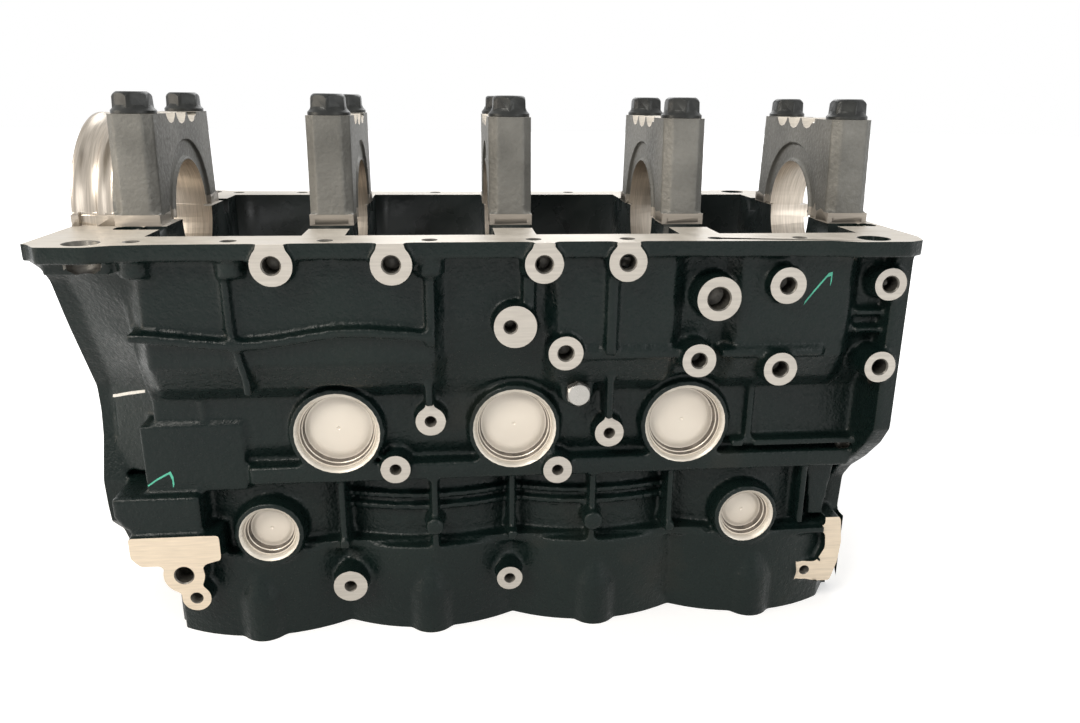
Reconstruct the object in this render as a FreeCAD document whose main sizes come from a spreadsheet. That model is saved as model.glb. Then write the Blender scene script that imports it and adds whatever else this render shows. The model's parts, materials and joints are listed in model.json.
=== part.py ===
"""Four-cylinder engine block, standing on its deck with the sump rail up.

The frame: X runs along the crankshaft, from the flywheel end (-X) to the timing end (+X); Z is up, from
the deck at 0 to the cap bolts; Y = 0 is the plane of the cylinder axes.  The near side is -Y.
"""
import FreeCAD, Part
import os
import re

Vector = FreeCAD.Vector
Rotation = FreeCAD.Rotation

doc = FreeCAD.newDocument("EngineBlock")
sizes = doc.addObject("Spreadsheet::Sheet", "Sizes")

# ---------------------------------------------------------------- driving dimensions, millimetres

DIMENSIONS = [
    ("pitch", 100), ("deck_height", 242), ("bore_radius", 46), ("main_radius", 32),
    ("front_end", 213), ("rear_end", 239), ("deck_rear", 204), ("seal_radius", 50), ("seal_depth", 15),
    ("rail_thick", 8.5), ("tongue_reach", 74),
    ("bay_floor", 150), ("web_thick", 22), ("notch_depth", 9),
    ("deck_flange", 55), ("deck_valley", 79), ("deck_crest", 92), ("lobe_radius", 14), ("lobe_reach", 84),
    ("lobe_rise", 26), ("lobe_taper", 25),
    ("jacket_valley", 71), ("jacket_crest", 81), ("jacket_top", 124),
    ("plug_wall", 88),
    ("cap_thick", 24), ("cap_reach", 62), ("cap_crown", 58.5), ("cap_rise", 59), ("cap_foot", 6),
    ("cap_corner", 4.6),
    ("cap_relief", 43.5), ("relief_depth", 2), ("rear_shift", 3.8), ("seal_ring", 59),
    ("bolt_reach", 46.5), ("bolt_shank", 6), ("bolt_hole", 6.5), ("bolt_depth", 48),
    ("bolt_head", 11.5), ("flange_radius", 11.7), ("flange_thick", 2.2), ("hex_radius", 9.8),
    ("large_plug", 22), ("small_plug", 15.2), ("plug_rim", 2), ("plug_deep", 9), ("plug_dish", 6.5),
    ("large_plug_z", 130), ("relief_radius", 31),
    ("small_plug_z", 68), ("small_plug_x", 142.3), ("small_wall", 90.4),
    ("inlet_radius", 19), ("inlet_depth", 11), ("rail_hole", 3.4), ("ear_hole", 8),
    ("head_bolt_hole", 6.5), ("water_hole", 4.5), ("gallery_plug", 9),
]

for row, (alias, value) in enumerate(DIMENSIONS, 1):
    sizes.set("A%d" % row, alias)
    sizes.set("B%d" % row, str(value))
    sizes.setAlias("B%d" % row, alias)
doc.recompute()

ALIASES = re.compile(r"\b(" + "|".join(alias for alias, _ in DIMENSIONS) + r")\b")


def size(alias):
    """The number in a sheet cell."""
    return float(sizes.get(alias))


def formula(text):
    """An expression on the sheet, from one written with bare aliases."""
    return ALIASES.sub(r"Sizes.\1", str(text))


def bind(item, **fields):
    """Ties an object's properties to the sheet."""
    for name, text in fields.items():
        item.setExpression(name, formula(text))


def place(item, at, turn=Rotation()):
    """Puts an object at a point whose coordinates are formulas."""
    item.Placement = FreeCAD.Placement(Vector(), turn)
    for axis, text in zip("xyz", at):
        item.setExpression(".Placement.Base." + axis, formula(text))


# ---------------------------------------------------------------- building helpers

TURNS = {
    "+X": Rotation(Vector(0, 1, 0), 90), "-X": Rotation(Vector(0, 1, 0), -90),
    "+Y": Rotation(Vector(1, 0, 0), -90), "-Y": Rotation(Vector(1, 0, 0), 90),
    "+Z": Rotation(), "-Z": Rotation(Vector(1, 0, 0), 180),
}


def box(name, low, high):
    """A block between two corners, each coordinate a formula."""
    item = doc.addObject("Part::Box", name)
    bind(item, Length="(%s) - (%s)" % (high[0], low[0]),
         Width="(%s) - (%s)" % (high[1], low[1]),
         Height="(%s) - (%s)" % (high[2], low[2]))
    place(item, low)
    return item


def rod(name, radius, length, at, along):
    """A cylinder from a point, along a direction such as -Y."""
    item = doc.addObject("Part::Cylinder", name)
    bind(item, Radius=radius, Height=length)
    place(item, at, TURNS[along])
    return item


def taper(name, radius_from, radius_to, length, at, along):
    """A cone from a point, along a direction."""
    item = doc.addObject("Part::Cone", name)
    bind(item, Radius1=radius_from, Radius2=radius_to, Height=length)
    place(item, at, TURNS[along])
    return item


def polygon(name, points):
    """A closed outline through points in space."""
    item = doc.addObject("Part::Polygon", name)
    item.Nodes = points
    item.Close = True
    return item


def extrude(name, outline, direction, length):
    """A solid swept from a closed outline."""
    item = doc.addObject("Part::Extrusion", name)
    item.Base = outline
    item.Dir = direction
    item.Solid = True
    bind(item, LengthFwd=length)
    return item


def along_x(name, section, start, end):
    """A prism along X from a section of (y, z) points."""
    outline = polygon(name + "_section", [Vector(start, y, z) for y, z in section])
    return extrude(name, outline, Vector(1, 0, 0), end - start)


def loft_along_x(name, stations):
    """A solid ruled through (x, section) stations, each section a list of (y, z) points."""
    item = doc.addObject("Part::Loft", name)
    item.Sections = [polygon("%s_%d" % (name, number), [Vector(x, y, z) for y, z in section])
                     for number, (x, section) in enumerate(stations)]
    item.Solid = True
    item.Ruled = True
    return item


def facing_y(name, outline, start, end):
    """A prism along Y from an outline of (x, z) points."""
    base = polygon(name + "_outline", [Vector(x, start, z) for x, z in outline])
    return extrude(name, base, Vector(0, 1, 0), end - start)


def up(name, plan, low, high):
    """A prism along Z from a plan of (x, y) points."""
    outline = polygon(name + "_plan", [Vector(x, y, low) for x, y in plan])
    return extrude(name, outline, Vector(0, 0, 1), high - low)


def both_sides(half):
    """Closes a half section, given from the top down on the +Y side, by its mirror image."""
    return half + [(-y, z) for y, z in reversed(half)]


def fuse(name, parts):
    item = doc.addObject("Part::MultiFuse", name)
    item.Shapes = parts
    item.Refine = False
    return item


def together(name, parts):
    item = doc.addObject("Part::Compound", name)
    item.Links = parts
    return item


def cut(name, base, tool):
    item = doc.addObject("Part::Cut", name)
    item.Base = base
    item.Tool = tool
    item.Refine = False
    return item


# ---------------------------------------------------------------- named places

CYLINDERS = [size("pitch") * (number - 1.5) for number in range(4)]
WEBS = [size("pitch") * (number - 2) for number in range(5)]
RAIL_TOP = size("deck_height")
RAIL_UNDER = RAIL_TOP - size("rail_thick")
SIDES = [("near", -1), ("far", 1)]
OUTWARD = {"near": "-Y", "far": "+Y"}

# ---------------------------------------------------------------- casting: the main walls


def wavy_plate(name, valley, crest, low, high, stations):
    """A plate along Z whose two long sides bulge round the cylinders, one arc for each station."""
    half_pitch = size("pitch") / 2
    first, last = stations[0] - half_pitch, stations[-1] + half_pitch
    edges = []
    for sign in (-1, 1):
        for centre in stations:
            edges.append(Part.Arc(Vector(centre - half_pitch, sign * valley, low),
                                  Vector(centre, sign * crest, low),
                                  Vector(centre + half_pitch, sign * valley, low)))
    for x in (first, last):
        edges.append(Part.LineSegment(Vector(x, -valley, low), Vector(x, valley, low)))
    outline = doc.addObject("Part::Feature", name + "_outline")
    outline.Shape = Part.Wire(Part.__sortEdges__([edge.toShape() for edge in edges]))
    return extrude(name + "_waves", outline, Vector(0, 0, 1), high - low)


def wavy_wall(name, valley, crest, low, high):
    """A wavy plate along all the cylinders, with the bevelled corners of the block's two ends."""
    rear, front = -size("deck_rear"), size("front_end") - 1
    near = [(rear, valley - 9), (rear + 8, valley - 2), (front - 12, valley), (front, valley - 17)]
    ends = up(name + "_ends", near + [(x, -y) for x, y in reversed(near)], low, high)
    return [wavy_plate(name, valley, crest, low, high, CYLINDERS), ends]


def head_lobes():
    """The head-bolt columns that stand out of the deck flange beside each cylinder."""
    lobes = []
    for side, sign in SIDES:
        for number, x in enumerate(CYLINDERS, 1):
            name, reach = "%s_%d" % (side, number), "%d * lobe_reach" % sign
            lobes.append(rod("lobe_" + name, "lobe_radius", "lobe_rise", (x, reach, 0), "+Z"))
            lobes.append(taper("lobe_tip_" + name, "lobe_radius", "lobe_radius - 8.5", "lobe_taper",
                               (x, reach, "lobe_rise"), "+Z"))
    return lobes


SKIRT = [(106, RAIL_UNDER + 2), (106, 196), (103, 180), (95, 162), (88, 150), (88, 122), (84, 112)]
PANEL = [(113, RAIL_UNDER + 2), (113, 198), (112, 176), (101, 160), (90, 152)]
PANEL_EDGE = [(104, RAIL_UNDER + 2), (104, 198), (100, 176), (92, 160), (86, 152)]
PANEL_SLOPE = 9
PANELS = [("rear", -190, -45), ("third", 22, 84), ("fourth", 121, 182)]
SHOULDER = [(113, RAIL_UNDER + 2), (113, 198), (112.6, 190), (112, 176), (101, 160), (90, 150), (88, 100)]
NECK = [(112, RAIL_UNDER + 2), (97, 222), (89, 208), (82, 193), (74, 178), (60, 152), (64, 100)]
REAR_OUTLINE = [(118, RAIL_UNDER + 2), (112, 232), (103, 227), (95, 219), (87, 202), (81, 190), (65, 161),
                (59, 150), (58, 135), (60, 120), (69, 95), (68, 79), (66, 67),
                 (51, 54), (40, 34), (22, 22)]
REAR_WALL = [(59, RAIL_UNDER), (57, 60), (46, 50), (34, 34), (20, 24)]
FRONT_OUTLINE = [(118, RAIL_UNDER + 2), (118, 133), (110, 121), (95, 106), (79, 93), (70, 82), (68, 54),
                 (68, 14), (58, 10), (56, 0)]


def crankcase():
    """The skirts: a plain wall, flat panels standing out of it, and the taper to the flywheel flange."""
    walls = [along_x("skirt", both_sides(SKIRT), -200, 206)]
    for name, start, end in PANELS:
        stations = [(start - PANEL_SLOPE, PANEL_EDGE), (start, PANEL),
                    (end, PANEL), (end + PANEL_SLOPE, PANEL_EDGE)]
        walls.append(loft_along_x("panel_" + name, [(x, both_sides(half)) for x, half in stations]))
    walls.append(loft_along_x("rear_taper", [(-172, both_sides(SHOULDER)), (-230, both_sides(NECK))]))
    return walls


def plug_reliefs():
    """The round pockets that clear each large core hole below the overhang of the skirt."""
    return [rod("relief_%s_%d" % (side, number), "relief_radius", 40,
                (x, sign * 90, "large_plug_z"), OUTWARD[side])
            for side, sign in SIDES for number, x in enumerate(WEBS[1:4], 1)]


def end_flanges():
    """The flywheel-housing flange and the timing-case flange, each a plate of its own outline."""
    rear = along_x("rear_flange", both_sides(REAR_OUTLINE), -size("rear_end"), -226)
    front = along_x("front_flange", both_sides(FRONT_OUTLINE), 204, size("front_end"))
    wall = along_x("rear_wall", both_sides(REAR_WALL), -230, -200)
    return [rear, front, wall]


RAIL_PLAN = [(-239, 0), (-239, -116), (-229, -130), (-206, -131), (-196, -126), (-178, -124), (-60, -122),
             (60, -122), (164, -125), (176, -130), (204, -130), (213, -125), (217, -112), (217, 0)]


def sump_rail():
    """The machined rail plate, ears at its four corners, and the bosses of its bolts."""
    far = [(x, -y) for x, y in reversed(RAIL_PLAN[1:-1])]
    parts = [up("rail", RAIL_PLAN + far, RAIL_UNDER, RAIL_TOP)]
    parts.append(box("rail_step_rear", (-232, -119, RAIL_UNDER - 7), (-200, 119, RAIL_UNDER + 1)))
    for side, sign in SIDES:
        for number, x in enumerate(RAIL_BOSSES, 1):
            at = (x, sign * RAIL_BOLT_REACH, RAIL_UNDER + 0.5)
            parts.append(rod("rail_boss_%s_%d" % (side, number), 7.5, 10, at, "-Z"))
    return parts


RAIL_BOLTS = [-190, -144, -97, -45, 8, 57, 104, 150]
RAIL_BOSSES = [-190, -144, -45, 8]
RAIL_BOLT_REACH = 114

# ---------------------------------------------------------------- casting: bosses, pads and ribs

# A boss: x, z, distance of its machined face from the middle plane, face radius, hole radius.
NEAR_BOSSES = {
    "rail_1": (-122, 231.5, 126, 10.5, 4.3), "rail_2": (-64, 231.5, 126, 10.5, 4.3),
    "rail_3": (12.5, 231, 126, 10, 4.2), "rail_4": (55.5, 231.5, 126, 10, 4),
    "mount_big": (106, 211, 122, 12, 6), "mount_1": (143.5, 217.5, 121, 10, 4.2),
    "mount_2": (200.5, 217.5, 121, 9, 4.2), "bracket": (-4, 196.5, 118, 8, 3.2),
    "mount_3": (25.5, 181.5, 118, 9.5, 4), "mount_4": (98, 176.5, 120, 9.5, 4),
    "mount_5": (143.5, 171, 121, 9.5, 4.2), "mount_6": (200.5, 171, 121, 9, 4.2),
    "clip_1": (-47.5, 138, 100, 8.5, 2.7), "clip_2": (-68, 109.5, 100, 8.5, 2.7),
    "clip_3": (54, 128, 100, 8.5, 2.7), "clip_4": (24.5, 106, 100, 8.5, 2.7),
    "deck_1": (-97.5, 33.5, 96, 10, 3), "deck_2": (-3, 34, 96, 7.8, 2.7),
}
FAR_BOSSES = {
    "filter_1": (-120, 205, 120, 10, 4.2), "filter_2": (-40, 205, 120, 10, 4.2),
    "filter_3": (-120, 165, 120, 10, 4.2), "filter_4": (-40, 165, 120, 10, 4.2),
    "mount_1": (62, 214, 121, 11, 5), "mount_2": (150, 214, 121, 11, 5),
    "mount_3": (62, 168, 121, 11, 5), "mount_4": (150, 168, 121, 11, 5),
    "drain": (50, 84, 92, 9, 5), "clip_1": (-50, 108, 98, 8.5, 2.7), "clip_2": (100, 34, 94, 8, 2.7),
}
BOSSES = [("near", NEAR_BOSSES), ("far", FAR_BOSSES)]


def boss_stems():
    """Each boss is a slightly tapered stem that runs from inside the wall out to its face."""
    stems = []
    for side, bosses in BOSSES:
        sign = dict(SIDES)[side]
        for name, (x, z, face, radius, _) in bosses.items():
            root = 98 if z > 150 else 76
            at = (x, sign * root, z)
            stems.append(rod("boss_%s_%s" % (side, name), radius, face - root, at, OUTWARD[side]))
    return stems


def plug_seats():
    """The raised rings round the core holes of the water jacket."""
    seats = []
    for side, sign in SIDES:
        for number, x in enumerate(WEBS[1:4], 1):
            at = (x, sign * 78, "large_plug_z")
            name = "seat_%s_%d" % (side, number)
            seats.append(rod(name, "large_plug + 4.5", "plug_wall + 4 - 78", at, OUTWARD[side]))
        for name, x in (("rear", "-small_plug_x"), ("front", "small_plug_x")):
            at = (x, sign * 66, "small_plug_z")
            name = "small_seat_%s_%s" % (side, name)
            seats.append(rod(name, "small_plug + 4.6", "small_wall - 66", at, OUTWARD[side]))
    return seats


# A rib: x from, x to, z from, z to, distance of its edge from the middle plane.
NEAR_RIBS = {
    "shelf_1": (34, 90, 177, 182, 114), "shelf_2": (112, 170, 176, 181, 115),
    "wall_1": (-48, -43, 186, 236, 118), "wall_2": (47, 53, 180, 236, 118),
    "wall_3": (137, 141, 116, 171, 112), "wall_4": (3, 9, 196, 236, 113),
    "wall_5": (-50, -46, 149, 168, 104), "wall_6": (51, 55, 139, 168, 106),
    "band": (-150, 204, 99.5, 110.5, 94), "band_edge": (128, 204, 115.5, 119.5, 96),
    "corner_1": (188, 206, 188, 191.5, 112), "corner_2": (188, 206, 198, 201.5, 112),
    "deck_edge": (-150, 204, 52, 57, 84),
    "stay_1": (-102, -98, 54, 104, 90), "stay_2": (-49, -45, 50, 104, 93), "stay_3": (-3, 1, 58, 104, 88),
    "stay_4": (45, 49, 54, 104, 92), "stay_5": (93, 97, 58, 106, 90), "stay_6": (176, 180, 60, 100, 90),
    "foot": (160, 204, 51.5, 55.5, 90),
}
FAR_RIBS = {
    "ledge": (-190, -44, 191.5, 197, 119), "shelf": (34, 182, 190, 195, 116),
    "wall_1": (-82, -78, 160, 236, 116), "wall_2": (104, 108, 160, 236, 116),
    "band": (-150, 204, 99.5, 110.5, 94), "deck_edge": (-150, 204, 52, 57, 84),
    "stay_1": (-102, -98, 54, 104, 90), "stay_2": (-2, 2, 54, 104, 90), "stay_3": (98, 102, 54, 104, 90),
}

# A knob: x, z, radius, reach.
KNOBS = [(-47, 70, 5.5, 97), (47, 70, 6, 97), (-100, 59, 3.5, 93), (-1, 61, 3.5, 93), (95, 62, 3.5, 93)]
LEDGE = [(-197, 196.5), (-168, 193.5), (-140, 191.5), (-116, 194), (-95, 197), (-70, 196.5), (-44, 194)]
LEDGE_THICK = 5
SLANT = [(-149.5, 234), (-145.5, 234), (-145, 196), (-139, 168), (-137.5, 112), (-141.5, 112),
         (-143, 168), (-149, 196)]


def wavy_ledge():
    """The overhanging edge of the rear skirt panel, a gentle wave along the near side."""
    top = Part.BSplineCurve()
    top.interpolate([Vector(x, -119, z) for x, z in LEDGE])
    foot = Part.BSplineCurve()
    foot.interpolate([Vector(x, -119, z - LEDGE_THICK) for x, z in LEDGE])
    ends = [Part.LineSegment(curve[0], curve[1]) for curve in
            ((top.StartPoint, foot.StartPoint), (top.EndPoint, foot.EndPoint))]
    outline = doc.addObject("Part::Feature", "ledge_outline")
    outline.Shape = Part.Wire(Part.__sortEdges__([edge.toShape() for edge in [top, foot] + ends]))
    return extrude("rib_near_ledge", outline, Vector(0, 1, 0), 23)


def wave_ribs():
    """Two thin ribs that follow the bulges of the jacket between the stays."""
    valley, crest = size("jacket_valley") + 5, size("jacket_crest") + 5
    return [wavy_plate("wave_rib_%d" % number, valley, crest, low, low + 3, CYLINDERS[1:3])
            for number, low in enumerate((76.5, 84), 1)]


def knobs():
    """The round thickenings of the stays on the near side."""
    return [rod("knob_%d" % number, radius, reach - 68, (x, -68, z), "-Y")
            for number, (x, z, radius, reach) in enumerate(KNOBS, 1)]


def ribs():
    """The straight stiffening ribs and the slanted one, each rooted well inside the wall."""
    made = []
    for side, sign, table in (("near", -1, NEAR_RIBS), ("far", 1, FAR_RIBS)):
        for name, (x_low, x_high, z_low, z_high, edge) in table.items():
            root = 96 if z_low > 150 else 68
            y_low, y_high = sorted((sign * root, sign * edge))
            made.append(box("rib_%s_%s" % (side, name), (x_low, y_low, z_low), (x_high, y_high, z_high)))
    return made + [facing_y("rib_slant", SLANT, -118, -94), wavy_ledge()]


PAD = [(-218, 72.5), (-168.5, 72.5), (-168.5, 57), (-178, 54.5), (-213, 54.5), (-218, 60)]
PLATE = [(-225, 95.5), (-178, 95.5), (-178, 73.5), (-216, 73.5), (-221, 78), (-225, 84)]
FRONT_PLATE = [(182, 99), (200, 99), (195, 62), (186, 62)]


def pads():
    """The machined pads at the deck corners and the raised plain plate above the rear one."""
    parts = [
        facing_y("rear_pad", PAD, -100, -60),
        facing_y("front_plate", FRONT_PLATE, -84, -60),
        facing_y("rear_plate", PLATE, -97, -60),
        box("rear_shoulder", (-208, -90, 95), (-152, -60, 136)),
        rod("rear_lug_1", 11.5, 40, (-190, -60, 48), "-Y"),
        rod("rear_lug_2", 8.2, 40, (-184.5, -60, 33), "-Y"),
        box("front_pad", (201, -78, 13), (210, -60, 58)),
        box("front_pad_arm", (190, -78, 12), (203, -60, 31)),
        rod("front_lug", 9.5, 18, (190, -60, 21.5), "-Y"),
        rod("bracket_seat", 11.5, 22, (-1.5, -96, 196.5), "-Y"),
    ]
    return parts


# ---------------------------------------------------------------- casting: what is cut away

BAY = [(98, RAIL_TOP + 2), (98, 188), (84, 158), (70, 150)]
FRONT_BOLTS = [(105, 215), (105, 160), (88, 112), (62, 60), (62, 14), (62, 190), (30, 120)]
REAR_BOLTS = [(97, 230), (77, 202), (50, 165), (50, 132), (57, 88), (30, 38)]


def crank_bays():
    """The four open spaces between the webs, where the cranks turn."""
    inner = (size("pitch") - size("web_thick")) / 2
    return [along_x("bay_%d" % number, both_sides(BAY), x - inner, x + inner)
            for number, x in enumerate(CYLINDERS, 1)]


def web_notches():
    """Beside each cap seat the web drops away below the rail."""
    notches = []
    for side, sign in SIDES:
        near, far = sorted((sign * size("cap_reach"), sign * size("tongue_reach")))
        for number, x in enumerate(WEBS, 1):
            low = (x - 14, near, "deck_height - notch_depth")
            notches.append(box("notch_%s_%d" % (side, number), low, (x + 14, far, "deck_height + 2")))
    return notches


def bores():
    """Cylinders, main bearings and the rear seal seat."""
    cuts = [rod("cylinder_%d" % number, "bore_radius", "bay_floor + 4", (x, 0, -2), "+Z")
            for number, x in enumerate(CYLINDERS, 1)]
    cuts.append(rod("main_bore", "main_radius", 460, (-240, 0, "deck_height"), "+X"))
    cuts.append(rod("seal_bore", "seal_radius", "seal_depth + 1", ("-rear_end - 1", 0, "deck_height"), "+X"))
    return cuts


def drilled():
    """Every drilled or tapped hole of the casting."""
    holes = []
    for side, sign in SIDES:
        inward = OUTWARD["far" if side == "near" else "near"]
        for number, x in enumerate(RAIL_BOLTS, 1):
            at = (x, sign * RAIL_BOLT_REACH, "deck_height + 1")
            holes.append(rod("rail_hole_%s_%d" % (side, number), "rail_hole", 18, at, "-Z"))
        for name, x in (("rear", -212), ("front", 189)):
            at = (x, sign * 118, "deck_height + 1")
            holes.append(rod("ear_hole_%s_%s" % (side, name), "ear_hole", 12, at, "-Z"))
        for name, (x, z, face, _, hole) in dict(BOSSES)[side].items():
            holes.append(rod("hole_%s_%s" % (side, name), hole, 15, (x, sign * (face + 1), z), inward))
        for number, x in enumerate(WEBS[1:4], 1):
            at = (x, "%d * (plug_wall + 5)" % sign, "large_plug_z")
            holes.append(rod("core_hole_%s_%d" % (side, number), "large_plug", 17, at, inward))
        for name, x in (("rear", "-small_plug_x"), ("front", "small_plug_x")):
            at = (x, "%d * (small_wall + 1)" % sign, "small_plug_z")
            holes.append(rod("small_core_%s_%s" % (side, name), "small_plug", 13, at, inward))
        for number, x in enumerate(cap_places(), 1):
            at = (x, "%d * bolt_reach" % sign, "deck_height + 1")
            holes.append(rod("cap_thread_%s_%d" % (side, number), "bolt_shank", "bolt_depth + 1", at, "-Z"))
        for number, x in enumerate(WEBS, 1):
            shift = -3 * (number - 3)
            holes.append(rod("head_hole_%s_%d" % (side, number), "head_bolt_hole", 46,
                             (x + shift, sign * 58, -1), "+Z"))
        for number, x in enumerate(CYLINDERS, 1):
            for step in (-22, 22):
                name = "water_hole_%s_%d_%d" % (side, number, step + 22)
                holes.append(rod(name, "water_hole", 16, (x + step, sign * 60, -1), "+Z"))
        for number, (y, z) in enumerate(FRONT_BOLTS, 1):
            at = ("front_end + 1", sign * y, z)
            holes.append(rod("front_hole_%s_%d" % (side, number), 3.4, 17, at, "-X"))
        for number, (y, z) in enumerate(REAR_BOLTS, 1):
            at = ("-rear_end - 1", sign * y, z)
            holes.append(rod("rear_hole_%s_%d" % (side, number), 5, 21, at, "+X"))
    holes.append(rod("rear_lug_hole_1", 5, 22, (-190, -101, 48), "+Y"))
    holes.append(rod("rear_lug_hole_2", 3, 22, (-184.5, -101, 33), "+Y"))
    holes.append(rod("front_lug_hole", 3.4, 15, (190, -79, 21.5), "+Y"))
    holes.append(rod("hex_plug_hole", 5, 16, (35, -101, 153.5), "+Y"))
    for name, x, along in (("rear", "-rear_end - 1", "+X"), ("front", "front_end + 1", "-X")):
        holes.append(rod("gallery_" + name, "gallery_plug", 12, (x, 70, 186), along))
    return holes


def cap_places():
    """Where the five caps stand along the crankshaft; the rear one is set a little forward of its web."""
    places = list(WEBS)
    places[0] -= size("rear_shift")
    return places


def pump_inlet():
    """Where the coolant comes in from the pump, in the timing face."""
    return rod("pump_inlet", "inlet_radius", "inlet_depth + 1", ("front_end + 1", -30, 84), "-X")


def block_casting():
    """Walls first, then what stands on them, then the machining, in stages."""
    walls = wavy_wall("deck", size("deck_valley"), size("deck_crest"), 0, size("deck_flange"))
    walls += wavy_wall("jacket", size("jacket_valley"), size("jacket_crest"), 50, size("jacket_top"))
    shell = fuse("shell", walls + crankcase() + end_flanges())
    shell = cut("relieved_shell", shell, together("reliefs", plug_reliefs()))
    railed = fuse("railed_shell", [shell] + sump_rail() + pads())
    ribbed = fuse("ribbed_shell", [railed] + ribs() + wave_ribs())
    seated = fuse("seated_shell", [ribbed] + head_lobes() + plug_seats())
    hex_seat = rod("hex_seat", 9.5, 26, (35, -74, 153.5), "-Y")
    rough = fuse("rough_casting", [seated, hex_seat] + boss_stems() + knobs())
    hollowed = cut("hollowed_casting", rough, fuse("hollows", crank_bays() + bores()))
    milled = cut("milled_casting", hollowed, together("milling", web_notches() + [pump_inlet()]))
    return cut("block_casting", milled, together("drilling", drilled()))


# ---------------------------------------------------------------- bearing caps


def cap_outline(name, x):
    """The cast body of a cap: a slab with bevelled corners on a square machined foot."""
    half, reach = "cap_thick / 2", "cap_reach"
    foot = box(name + "_foot", ("%s - %s" % (x, half), "-" + reach, "deck_height"),
               ("%s + %s" % (x, half), reach, "deck_height + cap_foot + 0.5"))
    thick, corner = size("cap_thick") / 2, size("cap_corner")
    levels = []
    for level, wide, height in (("low", size("cap_reach"), size("cap_foot")),
                                ("high", size("cap_crown"), size("cap_rise"))):
        quarter = [(thick, wide - corner), (thick - corner, wide)]
        quadrants = (1, 1, 1), (-1, 1, -1), (-1, -1, 1), (1, -1, -1)
        plan = [(x + across * px, along * py) for across, along, order in quadrants
                for px, py in quarter[::order]]
        corners = [Vector(px, py, RAIL_TOP + height) for px, py in plan]
        levels.append(polygon("%s_%s" % (name, level), corners))
    body = doc.addObject("Part::Loft", name + "_body")
    body.Sections = levels
    body.Solid = True
    body.Ruled = True
    return [foot, body]


def bearing_cap(name, x, with_seal=False):
    parts = cap_outline(name, x)
    away = []
    for side, sign in SIDES:
        hole = (x, "%d * bolt_reach" % sign, "deck_height - 1")
        away.append(rod("%s_bolt_%s" % (name, side), "bolt_hole", "cap_rise + 2", hole, "+Z"))
    if with_seal:
        rear = "-rear_end"
        parts.append(rod(name + "_ring", "seal_ring", "rear_end - 216", (rear, 0, "deck_height"), "+X"))
        parts.append(box(name + "_seal_foot", (rear, "-seal_ring - 1", "deck_height"),
                         (-214, "seal_ring + 1", "deck_height + cap_foot")))
        mouth = ("-rear_end - 1", 0, "deck_height")
        away.append(rod(name + "_seal", "seal_radius", "seal_depth + 1", mouth, "+X"))
        groove_rim = rod(name + "_groove_rim", "seal_ring + 3", 9, (-235, 0, "deck_height"), "+X")
        groove_core = rod(name + "_groove_core", "seal_ring - 2", 9, (-235, 0, "deck_height"), "+X")
        away.append(cut(name + "_groove", groove_rim, groove_core))
    behind = 45 if with_seal else 30
    away.append(rod(name + "_bore", "main_radius", behind + 30, (x - behind, 0, "deck_height"), "+X"))
    away.append(box(name + "_below", (x - 60, -80, "deck_height - 80"), (x + 60, 80, "deck_height")))
    reliefs = {"front": "%s + cap_thick / 2 - relief_depth" % x}
    if not with_seal:
        reliefs["rear"] = "%s - cap_thick / 2 - 1" % x
    for step, start in reliefs.items():
        away.append(rod("%s_relief_%s" % (name, step), "cap_relief", "relief_depth + 1",
                        (start, 0, "deck_height"), "+X"))
    for side, sign in SIDES:
        near, far = sorted((sign * 17, sign * 29))
        away.append(box("%s_crown_%s" % (name, side), (x - 30, near, "deck_height + cap_rise - 2"),
                        (x + 30, far, "deck_height + cap_rise + 1")))
    body = fuse(name + "_blank", parts)
    tool = fuse(name + "_machining", away)
    return cut(name, body, tool)


CAP_NAMES = ["main_cap_rear", "main_cap_2", "main_cap_3", "main_cap_4", "main_cap_front"]


def bearing_caps():
    return [bearing_cap(name, x, name == CAP_NAMES[0]) for name, x in zip(CAP_NAMES, cap_places())]


# ---------------------------------------------------------------- turned and forged fittings


def origin_plane(body, role):
    return next(item for item in body.Origin.OriginFeatures if item.Role == role)


def revolved_body(name, profile):
    """A PartDesign body turned about Z from (radius, height) points of a half profile."""
    body = doc.addObject("PartDesign::Body", name)
    sketch = body.newObject("Sketcher::SketchObject", name + "_profile")
    sketch.AttachmentSupport = (origin_plane(body, "XZ_Plane"), [""])
    sketch.MapMode = "FlatFace"
    corners = [Vector(radius, height, 0) for radius, height in profile]
    for first, last in zip(corners, corners[1:] + corners[:1]):
        sketch.addGeometry(Part.LineSegment(first, last))
    turned = body.newObject("PartDesign::Revolution", name + "_turned")
    turned.Profile = sketch
    turned.ReferenceAxis = (sketch, ["V_Axis"])
    turned.Angle = 360
    body.Tip = turned
    return body


def cap_bolt(name, x, y):
    """A flanged hexagon bolt: shank, washer flange and head, turned, with its six flats cut."""
    seat, head = size("cap_rise"), size("bolt_head")
    flange, hexagon = size("flange_radius"), size("hex_radius")
    shank, tip = size("bolt_shank"), -size("bolt_depth")
    profile = [(0, tip), (shank, tip), (shank, seat),
               (flange, seat), (flange, seat + 1.2), (hexagon, seat + size("flange_thick")),
               (hexagon, seat + head - 1), (hexagon - 1.6, seat + head), (0, seat + head)]
    turned = revolved_body(name + "_blank", profile)
    place(turned, (x, y, "deck_height"))
    stock = box(name + "_stock", (x - 20, y - 20, "deck_height + cap_rise + flange_thick"),
                (x + 20, y + 20, "deck_height + cap_rise + bolt_head + 1"))
    prism = doc.addObject("Part::Prism", name + "_hexagon")
    bind(prism, Circumradius="hex_radius", Height="bolt_head + 2")
    prism.Polygon = 6
    place(prism, (x, y, "deck_height + cap_rise"))
    flats = cut(name + "_flats", stock, prism)
    return cut(name, turned, flats)


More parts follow.
